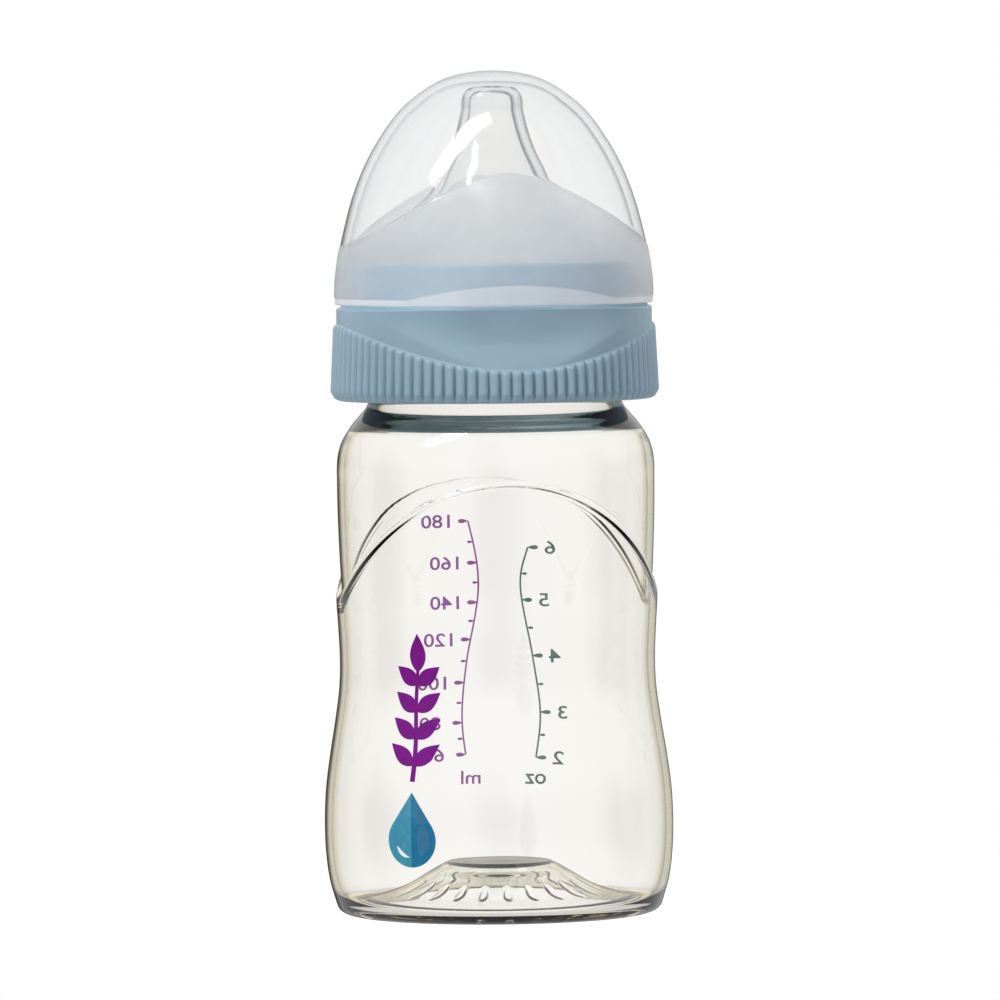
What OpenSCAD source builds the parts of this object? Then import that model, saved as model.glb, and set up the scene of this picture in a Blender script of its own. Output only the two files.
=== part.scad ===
// Wide-neck baby bottle: clear waisted body, ribbed screw collar, silicone teat and travel cap.
// Millimetres, +Z up. The origin is the centre of the foot, and -Y is the front.
// The bottle, the teat, the collar and the cap each come apart from the others.

/* [Bottle] */
// Radius of the belly, the widest place
belly_r = 33.2; // [32.8:0.1:33.6]
// Radius of the waist
waist_r = 30; // [29.8:0.1:30.2]
// Radius of the chest, above the grip panels
chest_r = 30.2; // [30:0.1:30.3]
// Radius of the plain neck, under its thread
neck_r = 24; // [23.8:0.1:24]
// Radius of the mouth
mouth_r = 21.8; // [21.2:0.1:21.9]
// Height of the rim that the teat's flange rests on
rim_z = 114.2; // [114:0.1:114.2]
// Wall thickness of the sides
wall = 1.2; // [1.1:0.1:1.7]

/* [Grip panels] */
// Height of each arched panel's crown, front and back
arch_top_z = 82.9; // [80:0.1:83.4]
// Radius of the arch, seen from the front
arch_r = 32.2; // [32:0.1:32.6]
// Radius of the panels' skin under the arch
panel_r = 30.6; // [30.5:0.1:30.8]

/* [Base] */
// Outer radius of the foot ring
foot_r = 28.6; // [28.2:0.1:28.8]
// Width of the foot ring
foot_w = 1.4; // [1:0.1:2]
// Height of the hollow under the base
punt_z = 8.4; // [7:0.1:9]
// Radius of the flat top of that hollow
punt_r = 9.4; // [8:0.1:9.8]
// Thickness of the floor
floor_t = 1.5; // [1.3:0.1:1.8]

/* [Thread] */
// Rise of the thread in one turn
pitch = 6; // [6:0.1:6.2]
// Turns of ridge on the neck
neck_turns = 1.5; // [1.2:0.05:1.5]
// Turns of ridge in the collar
collar_turns = 1.3; // [1:0.05:1.3]

/* [Screw collar] */
// Radius of the collar's smooth upper part
collar_r = 30; // [29.9:0.1:30.1]
// Height of the collar's lower edge
collar_low_z = 97.8; // [97.6:0.1:98]
// Radius over the tips of the ribs, near their lower ends
rib_tip_r = 31.26; // [31.1:0.02:31.4]
// Number of ribs
rib_count = 90; // [72:1:96]
// Radius of the threaded bore
collar_bore_r = 26; // [25.9:0.1:26.1]
// Depth of the thumb scoops above the ribs
scoop_depth = 1.9; // [1.4:0.1:2]
// Turn of the collar and the cap on the neck, in degrees
clocking = 3; // [0:1:6]

/* [Teat] */
// Height of the teat's tip
teat_top_z = 157.4; // [157:0.1:157.6]
// Radius of the groove that the collar's ledge sits in
teat_waist_r = 21.6; // [21.4:0.1:21.7]
// Wall thickness of the soft dome
teat_wall = 1.5; // [1.4:0.1:1.8]
// Diameter of the milk hole
milk_hole_d = 0.8; // [0.5:0.1:1]

/* [Travel cap] */
// Height of the top of the cap, which is the overall height
cap_top_z = 160.2; // [160:0.1:161]
// Outer radius of the cap's rim
cap_r = 30.2; // [30.2:0.1:30.3]
// Wall thickness of the cap
cap_wall = 1.5; // [1.3:0.1:1.6]
// Thickness of the frosted band that stands proud
frost_t = 0.15; // [0.1:0.05:0.2]

/* [Printed marks] */
// Thickness of the ink
ink_t = 0.08; // [0.06:0.01:0.1]
// Gap between the ink and the skin it is printed on
ink_gap = 0.02; // [0.01:0.01:0.03]
// Height of the strokes of the two measuring scales
stroke = 0.3; // [0.25:0.05:0.4]

/* [Hidden] */

clear_amber = [0.93, 0.90, 0.78, 0.55];
powder_blue = [0.56, 0.67, 0.75];
soft_clear = [0.90, 0.93, 0.95, 0.75];
frost_clear = [0.82, 0.88, 0.93, 0.45];
ink_purple = [0.55, 0.10, 0.58];
ink_green = [0.18, 0.37, 0.33];
ink_blue = [0.11, 0.50, 0.66];

bite = 0.02;                         // how far joined solids run into each other
beyond = 40;                         // reach of cutting shapes, past every radius
spline_steps = 5;                    // steps drawn between two outline points

// Heights where the collar's parts meet
seat_z = 115.9;                      // seat of the cap's rim
notch_z = 115.4;                     // floor of the groove under the cap's rim
ledge_z = [116.3, 118];              // ledge that holds the teat down
ring_z = 124;                        // top of the ring inside the cap
ring_r = [26.3, 27.8];               // inner and outer radius of that ring
seat_r = 29.2;                       // outer radius of the cap's seat
ledge_r = 22;                        // hole in the ledge
cap_low_z = 116;                     // rim of the cap

// Sizes of the ribs on the collar
rib_r = 0.8;                         // radius of one rib's rounded crest
rib_centre_r = 30.65;                // where that radius is centred
valley_r = 30.2;                     // radius of the skirt between ribs
rib_top_r = 30.6;                    // radius over the tips at the ribs' upper ends
rib_chamfer_z = 1.7;                 // height of the chamfer at their lower ends
wave_low_z = 103.9;                  // upper ends of the ribs at the front and back
wave_rise = 8.9;                     // how much higher they end at the sides
wave_half_w = 30.9;                  // half width over which they rise

// The thread's trapezoid section, shared by the two ridges
ridge_root_w = 2.2;
ridge_crest_w = 1.2;
ridge_steps = 40;                    // sections in one turn
ridge_fade = 5;                      // sections over which each end runs out
neck_crest_r = 25.6;
collar_crest_r = 24.5;
neck_ridge_z = 102.6;                // middle of the neck ridge where it starts
ridge_gap = 1.8;                     // collar ridge's middle under the neck ridge's middle

// Curve through the points after the first and before the last, which only steer its ends.
function between(a, b, c, d, t) =
    0.5 * (2 * b + (c - a) * t + (2 * a - 5 * b + 4 * c - d) * t * t + (3 * b - 3 * c + d - a) * t * t * t);
function smooth(p, n = spline_steps) = [
    for (i = [1 : len(p) - 3], k = [0 : n - 1]) between(p[i - 1], p[i], p[i + 1], p[i + 2], k / n),
    p[len(p) - 2]
];

// The same curve moved t to the left of its direction, kept on the positive side of the axis.
function shifted(p, t) = [
    for (i = [0 : len(p) - 1])
        let (
            d = p[min(i + 1, len(p) - 1)] - p[max(i - 1, 0)],
            q = p[i] + t * [-d[1], d[0]] / norm(d)
        )
        [max(0, q[0]), q[1]]
];

// Side of the body from the foot ring up to the top of the grip panels.
lower_side = smooth([
    [foot_r - 2, 0],
    [foot_r, 0],
    [foot_r + 1.9, 0.9],
    [belly_r - 1.8, 3.1],
    [belly_r - 0.8, 6.8],
    [belly_r - 0.2, 11.5],
    [belly_r, 17.5],
    [belly_r - 0.3, 24],
    [belly_r - 1.15, 30.5],
    [waist_r + 1, 37],
    [waist_r + 0.2, 43],
    [waist_r, 48.5],
    [waist_r + 0.25, 54.5],
    [panel_r, 61],
    [panel_r, 72],
    [panel_r, 86],
    [panel_r, 100]
]);

// Side of the body above the panels: chest, shoulder and the foot of the neck.
upper_side = smooth([
    [chest_r - 1.2, 40],
    [chest_r - 1.2, 50],
    [chest_r - 0.85, 59],
    [chest_r - 0.4, 67],
    [chest_r - 0.1, 75],
    [chest_r, 82],
    [chest_r - 0.1, 86.6],
    [chest_r - 1, 90],
    [chest_r - 2.9, 93.1],
    [neck_r + 1.6, 95.1],
    [neck_r + 0.3, 96.8],
    [neck_r, 98.6],
    [neck_r, 102]
]);

// The hollow under the base, from its middle out to the foot ring.
punt = concat([[0, punt_z]], smooth([
    [punt_r - 3, punt_z],
    [punt_r, punt_z],
    [punt_r + 3.5, punt_z - 2.2],
    [punt_r + 8.8, 3.1],
    [foot_r - 4.4, 1.3],
    [foot_r - foot_w - 0.6, 0.9],
    [foot_r - foot_w, 0],
    [foot_r - foot_w, -1]
]));

// The inside under the arch: over the punt, round the heel and up behind the panels.
lower_inside = concat([[0, punt_z + floor_t]], smooth([
    [punt_r - 3, punt_z + floor_t],
    [punt_r, punt_z + floor_t],
    [punt_r + 4.1, punt_z + floor_t - 2.2],
    [punt_r + 9.4, 3.1 + floor_t],
    [foot_r - 4, 1.2 + floor_t],
    [foot_r - 0.4, 0.4 + floor_t],
    [foot_r + 1.3, 3.2],
    [belly_r - wall - 0.9, 6.6],
    [belly_r - wall - 0.2, 11.5],
    [belly_r - wall, 17.5],
    [belly_r - wall - 0.3, 24],
    [belly_r - wall - 1.15, 30.5],
    [waist_r - wall + 1, 37],
    [waist_r - wall + 0.2, 43],
    [waist_r - wall, 48.5],
    [waist_r - wall + 0.25, 54.5],
    [panel_r - wall, 61],
    [panel_r - wall, 72],
    [panel_r - wall, 86],
    [panel_r - wall, 100]
]));

// The inside above the arch: chest, shoulder and neck.
upper_inside = smooth([
    [chest_r - wall - 1.2, 40],
    [chest_r - wall - 1.2, 50],
    [chest_r - wall - 0.85, 59],
    [chest_r - wall - 0.4, 67],
    [chest_r - wall - 0.1, 75],
    [chest_r - wall, 81],
    [chest_r - wall - 0.2, 86.5],
    [chest_r - wall - 0.8, 89.3],
    [chest_r - wall - 1.9, 91.6],
    [mouth_r + 3.1, 93.6],
    [mouth_r + 1.2, 95.1],
    [mouth_r + 0.3, 96.9],
    [mouth_r, 99.4],
    [mouth_r, 105]
]);

// Outer side of the cap, from its rim to its top.
cap_side = smooth([
    [cap_r, cap_low_z - 3],
    [cap_r, cap_low_z],
    [cap_r, cap_low_z + 3],
    [cap_r - 0.25, cap_low_z + 6],
    [cap_r - 0.75, cap_low_z + 9.4],
    [cap_r - 1.75, cap_low_z + 14],
    [cap_r - 3.3, cap_low_z + 19.8],
    [cap_r - 5.5, cap_low_z + 25.6],
    [cap_r - 8.4, cap_low_z + 31],
    [cap_r - 12.2, cap_top_z - 7.9],
    [cap_r - 16, cap_top_z - 4.5],
    [cap_r - 20.4, cap_top_z - 1.8],
    [cap_r - 25, cap_top_z - 0.45],
    [0, cap_top_z],
    [25 - cap_r, cap_top_z - 0.45]
]);

// Outer side of the teat's dome and nipple, from above the ledge to the tip.
teat_side = smooth([
    [25.3, 116],
    [25.5, 119.4],
    [25.5, 121.8],
    [24.4, 125],
    [21.4, 128.1],
    [18.4, 130.8],
    [15.6, 133.7],
    [13, 135.9],
    [11.2, 138.2],
    [9.9, 141.3],
    [8.2, 144.8],
    [6.9, 148.4],
    [6, 152.4],
    [5.7, teat_top_z - 2.5],
    [4.2, teat_top_z - 0.45],
    [0, teat_top_z],
    [-4.2, teat_top_z - 0.45]
]);

// A solid turned from a half outline.
module turned(outline) {
    rotate_extrude($fn = 144) polygon(outline);
}

// A solid that is deep along Y, from an outline drawn in X and Z.
module deep() {
    translate([0, beyond, 0]) rotate([90, 0, 0]) linear_extrude(2 * beyond) children();
}

// One thread ridge, right-handed, which thins out at both ends so that it runs into its wall.
module thread_ridge(root_r, crest_r, hidden_r, turns, mid_z) {
    last = round(turns * ridge_steps);
    function crest_at(i) = let (f = min(1, i / ridge_fade, (last - i) / ridge_fade))
        hidden_r + (crest_r - hidden_r) * f;
    function corner(i, r, w) = let (a = i * 360 / ridge_steps)
        [r * cos(a), r * sin(a), mid_z + pitch * i / ridge_steps + w / 2];
    rings = [
        for (i = [0 : last]) each [
            corner(i, root_r, -ridge_root_w),
            corner(i, crest_at(i), -ridge_crest_w),
            corner(i, crest_at(i), ridge_crest_w),
            corner(i, root_r, ridge_root_w)
        ]
    ];
    sides = [
        for (i = [0 : last - 1], k = [0 : 3])
            let (a = 4 * i + k, b = 4 * i + (k + 1) % 4)
            each (crest_r > root_r
                ? [[a, b, a + 4], [b, b + 4, a + 4]]
                : [[a, a + 4, b], [b, a + 4, b + 4]])
    ];
    top = 4 * last;
    ends = crest_r > root_r
        ? [[0, 3, 1], [1, 3, 2], [top, top + 1, top + 3], [top + 1, top + 2, top + 3]]
        : [[0, 1, 3], [1, 2, 3], [top, top + 3, top + 1], [top + 1, top + 3, top + 2]];
    polyhedron(rings, concat(sides, ends));
}

// Everything under the arch of the grip panels, seen from the front, or that much further in.
module under_arch(inset) {
    arch_z = arch_top_z - arch_r;
    deep() {
        translate([0, arch_z]) circle(r = arch_r - inset, $fn = 144);
        translate([-beyond, -beyond]) square([2 * beyond, beyond + arch_z]);
    }
}

// A turned lower form under the arch, joined to a turned upper form that starts inside it.
module arched_form(lower, upper, r, top_z, inset = 0) {
    turned(concat([[0, upper[0][1]]], upper, [[r, top_z], [0, top_z]]));
    intersection() {
        turned(concat(lower, [[0, lower[len(lower) - 1][1]]]));
        under_arch(inset);
    }
}

module bottle_body() {
    root_depth = 0.6;                // how far the thread's foot is sunk in the neck
    color(clear_amber) {
        difference() {
            arched_form(concat(punt, lower_side), upper_side, neck_r, rim_z);
            arched_form(lower_inside, upper_inside, mouth_r, rim_z + 1, wall);
        }
        thread_ridge(neck_r - root_depth, neck_crest_r, neck_r - root_depth / 2, neck_turns, neck_ridge_z);
    }
}

// Below the wavy line where the ribs end.
module below_wave() {
    deep() polygon(concat(
        [[-beyond, 0]],
        [for (x = [-36 : 3 : 36]) [x, wave_low_z + wave_rise * pow(x / wave_half_w, 2)]],
        [[beyond, 0]]
    ));
}

module ribbed_skirt() {
    skirt_h = wave_low_z + wave_rise - collar_low_z + 0.6;
    inset = 1;                       // the lower chamfer's width if it ran on below the edge
    intersection() {
        translate([0, 0, collar_low_z]) linear_extrude(skirt_h) {
            circle(r = valley_r, $fn = 144);
            for (i = [0 : rib_count - 1])
                rotate(i * 360 / rib_count) translate([rib_centre_r, 0]) circle(r = rib_r, $fn = 24);
        }
        turned([
            [0, collar_low_z - inset],
            [valley_r - inset, collar_low_z - inset],
            [valley_r, collar_low_z],
            [rib_tip_r, collar_low_z + rib_chamfer_z],
            [rib_top_r, collar_low_z + skirt_h],
            [rib_top_r, collar_low_z + skirt_h + 1],
            [0, collar_low_z + skirt_h + 1]
        ]);
        below_wave();
    }
}

// The smooth core, hollowed front and back by a leaning cylinder for the thumbs.
module scooped_core() {
    lean = atan(scoop_depth / (notch_z - wave_low_z));
    lean_r = collar_r + 0.48;        // a little wider, so that it only meets the front and back
    intersection() {
        turned([[0, collar_low_z], [collar_r, collar_low_z], [collar_r, notch_z], [0, notch_z]]);
        leaning_cylinder(0, lean, lean_r);
        leaning_cylinder(180, lean, lean_r);
    }
}

// A cylinder that leans back from the notch's height down, so that its skin comes in by the scoop's depth.
module leaning_cylinder(turn, lean, lean_r) {
    rotate(turn) translate([0, lean_r / cos(lean) - collar_r, notch_z]) rotate([lean, 0, 0])
        translate([0, 0, -beyond]) cylinder(r = lean_r, h = 2 * beyond, $fn = 144);
}

module screw_collar() {
    soft = 0.4;                      // chamfer on the ring's two edges
    overlap = 1;                     // how far the seat runs down into the core
    start = -30;                     // where the collar's ridge starts, against the neck's
    root_depth = 0.6;                // how far the thread's foot is sunk in the bore
    color(powder_blue) rotate(clocking) {
        difference() {
            union() {
                ribbed_skirt();
                scooped_core();
                turned([
                    [0, notch_z - overlap],
                    [seat_r, notch_z - overlap],
                    [seat_r, seat_z],
                    [ring_r[1], seat_z],
                    [ring_r[1], ring_z - soft],
                    [ring_r[1] - soft, ring_z],
                    [ring_r[0] + soft, ring_z],
                    [ring_r[0], ring_z - soft],
                    [ring_r[0], ledge_z[1]],
                    [0, ledge_z[1]]
                ]);
            }
            turned([
                [0, collar_low_z - 1],
                [collar_bore_r, collar_low_z - 1],
                [collar_bore_r, ledge_z[0]],
                [ledge_r, ledge_z[0]],
                [ledge_r, ring_z],
                [0, ring_z]
            ]);
        }
        rotate(start - clocking) thread_ridge(
            collar_bore_r + root_depth,
            collar_crest_r,
            collar_bore_r + root_depth / 2,
            collar_turns,
            neck_ridge_z - ridge_gap + pitch * start / 360
        );
    }
}

module teat() {
    flange_r = 25.2;
    flange_z = [rim_z + 0.1, 116.2];
    opening_r = 18.2;                // the thick foot of the dome is stiff
    vent_y = 19.9;
    vent_z = 115.3;                  // height of the air channel in the flange
    vent_d = 1;
    valve_r = [0.9, 1.3];            // radius of the valve's tip and of its root
    valve_h = 3;
    dome_z = 120.2;                  // where the even wall of the dome starts
    color(soft_clear) difference() {
        union() {
            turned(concat(
                [[0, flange_z[0]], [flange_r, flange_z[0]], [flange_r, flange_z[1]]],
                [[teat_waist_r, flange_z[1]], [teat_waist_r, ledge_z[1] + 0.2]],
                teat_side
            ));
            // the anti-colic valve, a short nozzle inside the neck
            translate([0, vent_y, flange_z[0] - valve_h])
                cylinder(r1 = valve_r[0], r2 = valve_r[1], h = valve_h + bite, $fn = 32);
        }
        turned(concat(
            [[0, flange_z[0] - 1], [opening_r, flange_z[0] - 1], [opening_r, ledge_z[1] + 0.6]],
            [for (p = shifted(teat_side, teat_wall)) if (p[1] > dome_z) p]
        ));
        translate([0, 0, teat_top_z - 5]) cylinder(d = milk_hole_d, h = 6, $fn = 24);
        translate([0, vent_y, flange_z[0] - valve_h - 1])
            cylinder(d = vent_d, h = vent_z - flange_z[0] + valve_h + 1, $fn = 24);
        translate([0, vent_y, vent_z]) rotate([-90, 0, 0]) cylinder(d = vent_d, h = 7, $fn = 24);
    }
}

// Below the hill-shaped line of the frosted band, which is highest at the front and back.
module below_hill() {
    hill_z = 140.8;
    hill_drop = 14.4;
    hill_half_w = 29.2;
    deep() polygon(concat(
        [[-beyond, 0]],
        [for (x = [-32 : 2 : 32]) [x, hill_z - hill_drop * pow(abs(x) / hill_half_w, 1.6)]],
        [[beyond, 0]]
    ));
}

module travel_cap() {
    frost_z = cap_low_z + 0.6;       // where the frosted band starts, over a plain edge
    rim_inner_r = cap_r - cap_wall - 0.1;
    frosted_side = [for (p = shifted(cap_side, -frost_t)) if (p[1] > frost_z) p];
    color(frost_clear) rotate(clocking) difference() {
        union() {
            turned(concat([[0, cap_low_z]], cap_side));
            intersection() {
                turned(concat([[0, frost_z]], frosted_side));
                below_hill();
            }
        }
        turned(concat([[0, cap_low_z - 1], [rim_inner_r, cap_low_z - 1]], shifted(cap_side, cap_wall)));
    }
}

// Ink on the grip panels' skin: an outline drawn in X and Z, thrown onto the skin along Y.
module ink() {
    side = [for (p = lower_side) if (p[1] > 8 && p[1] < 85) p];
    inner = shifted(side, -ink_gap);
    outer = shifted(side, -ink_gap - ink_t);
    last = len(side) - 1;
    intersection() {
        turned(concat(inner, [for (i = [last : -1 : 0]) outer[i]]));
        rotate([90, 0, 0]) linear_extrude(beyond) children();
    }
}

// Heights of the numbered marks, from the lowest up
ml_marks = [27.9, 34.2, 42.1, 50.4, 57.5, 65.2, 73.3];
oz_marks = [27.2, 36.2, 47.2, 57.9, 68.1];

// The two lines that the marks hang on, as seen from the front through the bottle
ml_line = smooth([[-2, 21], [-3.7, 27.9], [-4.5, 36], [-3.6, 46], [-1, 60.7], [-3, 73.3], [-6, 80]]);
oz_line = smooth([[9, 20], [10.2, 27.2], [11, 36.2], [9.5, 47.2], [7.3, 60.5], [8.8, 68.1], [11, 74]]);

// Where a line is at height z
function line_x(line, z) = lookup(z, [for (p = line) [p[1], p[0]]]);
function midways(z) = [for (i = [0 : len(z) - 2]) (z[i] + z[i + 1]) / 2];

// A scale: a waving line with long ticks at its marks and short ones midway, all to one side.
module scale_print(line, marks, side) {
    long_tick = 1.8;
    short_tick = 1.1;
    last = len(line) - 1;
    rotate(180) ink() mirror([1, 0]) {
        polygon(concat(
            [for (p = line) p - [stroke / 2, 0]],
            [for (i = [last : -1 : 0]) line[i] + [stroke / 2, 0]]
        ));
        for (z = marks) tick(line_x(line, z), z, side, long_tick, stroke * 1.6);
        for (z = midways(marks)) tick(line_x(line, z), z, side, short_tick, stroke);
    }
}

module tick(x, z, side, length, h) {
    translate([side > 0 ? x : x - length, z - h / 2]) square([length, h]);
}

module ml_scale() {
    color(ink_purple) scale_print(ml_line, ml_marks, -1);
}

module oz_scale() {
    color(ink_green) scale_print(oz_line, oz_marks, 1);
}

// The two prints are to the left of the front, where a thumb would rest.
print_turn = -34.8;

// One pointed leaf, from its stalk at the origin along +X.
module leaf(length, w) {
    r = (length * length / 4 + w * w / 4) / w;
    intersection() {
        translate([length / 2, r - w / 2]) circle(r = r, $fn = 96);
        translate([length / 2, w / 2 - r]) circle(r = r, $fn = 96);
    }
}

// A stem with leaves in pairs and one at its tip
module sprig_print() {
    stem_z = [27, 48];
    pairs = 4;
    color(ink_purple) rotate(print_turn) ink() {
        translate([-0.45, stem_z[0]]) square([0.9, stem_z[1] - stem_z[0]]);
        translate([0, stem_z[1] - 0.6]) rotate(90) leaf(7.3, 3.4);
        for (i = [0 : pairs - 1], s = [-1, 1])
            translate([0, stem_z[0] + 3 + i * 5]) rotate(90 - s * 52) leaf(6.6 - 0.3 * i, 3);
    }
}

// A drop, round below and pointed above
module drop_print() {
    drop_r = 5.1;
    drop_z = 16;
    tip = 9;                         // height of the point over the middle of the round
    touch = 90 - acos(drop_r / tip); // where the straight sides leave the round
    color(ink_blue) rotate(print_turn) ink() translate([0, drop_z]) polygon(concat(
        [[0, tip]],
        [for (i = [0 : 36]) let (a = 180 - touch + i * (180 + 2 * touch) / 36) drop_r * [cos(a), sin(a)]]
    ));
}

bottle_body();
screw_collar();
teat();
travel_cap();
ml_scale();
oz_scale();
sprig_print();
drop_print();
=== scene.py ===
"""Looks of a clear baby bottle: ribbed blue collar, silicone teat, travel cap and printed scales.

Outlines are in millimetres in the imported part's frame: +Z up, -Y the front, the foot at z = 0.
They hang on sizes read from the frame, and add_mesh turns them into metres.
"""

import math

import bpy
import numpy as np
from mathutils import Matrix, Vector


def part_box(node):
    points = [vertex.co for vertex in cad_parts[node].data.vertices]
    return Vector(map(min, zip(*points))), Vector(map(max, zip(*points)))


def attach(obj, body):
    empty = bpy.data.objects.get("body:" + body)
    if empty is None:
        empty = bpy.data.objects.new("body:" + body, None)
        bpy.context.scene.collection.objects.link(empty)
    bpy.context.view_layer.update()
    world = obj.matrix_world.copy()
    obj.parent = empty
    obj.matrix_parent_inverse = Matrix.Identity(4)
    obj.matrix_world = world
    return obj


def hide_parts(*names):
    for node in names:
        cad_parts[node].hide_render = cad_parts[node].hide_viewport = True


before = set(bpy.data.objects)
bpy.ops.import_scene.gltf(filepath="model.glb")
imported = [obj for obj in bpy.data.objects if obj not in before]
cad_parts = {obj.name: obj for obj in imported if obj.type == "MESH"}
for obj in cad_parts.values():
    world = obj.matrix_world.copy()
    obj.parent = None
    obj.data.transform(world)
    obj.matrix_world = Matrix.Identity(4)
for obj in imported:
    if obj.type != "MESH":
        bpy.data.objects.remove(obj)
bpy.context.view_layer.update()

MM = 0.001


def box_mm(node):
    """Lowest and highest corner of a CAD node, in millimetres."""
    low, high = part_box(node)
    return np.array(low) / MM, np.array(high) / MM


_, body_high = box_mm("bottle_body")
collar_low, collar_high = box_mm("screw_collar")
_, teat_high = box_mm("teat")
cap_low, cap_high = box_mm("travel_cap")

BELLY_R = body_high[0]
RIM_Z = body_high[2]
COLLAR_Z = collar_low[2]
RING_Z = collar_high[2]
TEAT_TOP = teat_high[2]
CAP_Z = cap_low[2]
CAP_TOP = cap_high[2]
FROST = 0.15
CAP_R = cap_high[0] - FROST

WAIST_R = BELLY_R - 3.2
CHEST_R = BELLY_R - 3.0
PANEL_R = BELLY_R - 2.6
NECK_R = 24.0
MOUTH_R = 21.8
WALL = 1.2
FLOOR_T = 1.5
TEAT_WALL = 1.5
CAP_WALL = 1.5
FOOT_R = 28.6
PUNT_Z = 8.4
PUNT_R = 9.4
ARCH_R = 32.2
ARCH_Z = 50.7
CLOCKING = math.radians(3)


# ---------------------------------------------------------------- curves and meshes


def smooth(points, steps=6):
    """Curve through all points but the first and last, which only steer its ends."""
    p = np.array(points, float)
    t = np.arange(steps)[:, None] / steps
    out = []
    for a, b, c, d in zip(p, p[1:], p[2:], p[3:]):
        bend = 2 * a - 5 * b + 4 * c - d
        out.append(0.5 * (2 * b + (c - a) * t + bend * t**2 + (3 * b - 3 * c + d - a) * t**3))
    return np.vstack([*out, p[-2:-1]])


def shifted(curve, distance):
    """The curve moved to the left of its direction, kept on the positive side of the axis."""
    d = np.gradient(curve, axis=0)
    n = np.stack([-d[:, 1], d[:, 0]], 1) / np.linalg.norm(d, axis=1)[:, None]
    moved = curve + distance * n
    moved[:, 0] = np.maximum(moved[:, 0], 0)
    return moved


def smoothstep(t):
    t = np.clip(t, 0, 1)
    return t * t * (3 - 2 * t)


def angles(count):
    return np.arange(count) * 2 * math.pi / count


def ring(theta, r, z):
    """Points round the axis, where r and z are numbers or one value for each angle."""
    one = np.ones_like(theta)
    return np.stack([r * np.cos(theta), r * np.sin(theta), z * one], 1)


def surface(rings, loop=False):
    """Vertices and faces of a skin through the rings. A ring with no size becomes one vertex."""
    verts, rows = [], []
    for points in rings:
        if np.ptp(points, axis=0).max() < 1e-6:
            rows.append([len(verts)] * len(points))
            verts.append(points[0])
        else:
            rows.append(list(range(len(verts), len(verts) + len(points))))
            verts.extend(points)
    faces = []
    for a, b in zip(rows, rows[1:] + (rows[:1] if loop else [])):
        for j in range(len(a)):
            k = (j + 1) % len(a)
            faces.append(list(dict.fromkeys([a[j], a[k], b[k], b[j]])))
    return verts, [f for f in faces if len(f) > 2]


def add_mesh(name, verts, faces, materials, slots=None, flat=False):
    mesh = bpy.data.meshes.new(name)
    mesh.from_pydata((np.array(verts) * MM).tolist(), [], faces)
    for m in materials:
        mesh.materials.append(m)
    if slots is not None:
        mesh.polygons.foreach_set("material_index", slots)
    mesh.polygons.foreach_set("use_smooth", [not flat] * len(mesh.polygons))
    mesh.update()
    obj = bpy.data.objects.new(name, mesh)
    bpy.context.scene.collection.objects.link(obj)
    return obj


def dress(obj, body, slot, *nodes):
    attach(obj, body)
    if nodes:
        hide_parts(*nodes)
    return obj


# ---------------------------------------------------------------- materials


def new_material(name):
    m = bpy.data.materials.new(name)
    m.use_nodes = True
    return m, m.node_tree, m.node_tree.nodes["Principled BSDF"]


NOISE_LOW = 0.3
NOISE_HIGH = 0.7


def noise(tree, scale, detail=3.0):
    """A noise in the part's own space, scale in features per metre."""
    coord = tree.nodes.new("ShaderNodeTexCoord")
    tex = tree.nodes.new("ShaderNodeTexNoise")
    tex.inputs["Scale"].default_value = scale
    tex.inputs["Detail"].default_value = detail
    tree.links.new(coord.outputs["Object"], tex.inputs["Vector"])
    return tex.outputs["Fac"]


def spread(tree, value, low, high):
    """The middle of a noise's range stretched from low to high."""
    node = tree.nodes.new("ShaderNodeMapRange")
    node.inputs["From Min"].default_value = NOISE_LOW
    node.inputs["From Max"].default_value = NOISE_HIGH
    node.inputs["To Min"].default_value = low
    node.inputs["To Max"].default_value = high
    tree.links.new(value, node.inputs["Value"])
    return node.outputs["Result"]


def bump(tree, value, strength, distance_mm, shader):
    node = tree.nodes.new("ShaderNodeBump")
    node.inputs["Strength"].default_value = strength
    node.inputs["Distance"].default_value = distance_mm * MM
    tree.links.new(value, node.inputs["Height"])
    tree.links.new(node.outputs["Normal"], shader.inputs["Normal"])


def ramp(tree, value, *stops):
    """A colour ramp of (place, (r, g, b)) stops."""
    node = tree.nodes.new("ShaderNodeValToRGB")
    elements = node.color_ramp.elements
    while len(elements) < len(stops):
        elements.new(0.5)
    for element, (place, colour) in zip(elements, stops):
        element.position = place
        element.color = (*colour, 1)
    tree.links.new(value, node.inputs["Fac"])
    return node.outputs["Color"]


def edge_on(tree):
    """0 where a surface faces the eye, 1 where it is seen edge on."""
    node = tree.nodes.new("ShaderNodeLayerWeight")
    node.inputs["Blend"].default_value = 0.5
    return node.outputs["Facing"]


def absorb(tree, colour, density):
    node = tree.nodes.new("ShaderNodeVolumeAbsorption")
    node.inputs["Color"].default_value = (*colour, 1)
    node.inputs["Density"].default_value = density
    tree.links.new(node.outputs["Volume"], tree.nodes["Material Output"].inputs["Volume"])


def clear_plastic(name, ior, stops, rough, volume, waviness=0.02):
    """A see-through plastic with painted shade where it is seen edge on, and a faint moulded unevenness.

    Stops are its base colours from face on to edge on; their darkening towards edge on is painted
    shade for the outlines and edges. Rough is the range of its roughness, and volume the colour and
    density of the light's loss inside it.
    """
    m, tree, shader = new_material(name)
    shader.inputs["Transmission Weight"].default_value = 1.0
    shader.inputs["IOR"].default_value = ior
    # Painted shade: the base colour runs from the face-on stops to the darker edge-on ones.
    tree.links.new(ramp(tree, edge_on(tree), *stops), shader.inputs["Base Color"])
    tree.links.new(spread(tree, noise(tree, 40), *rough), shader.inputs["Roughness"])
    if waviness:
        bump(tree, noise(tree, 55, 1.0), waviness, 0.4, shader)
    absorb(tree, *volume)
    return m


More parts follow.
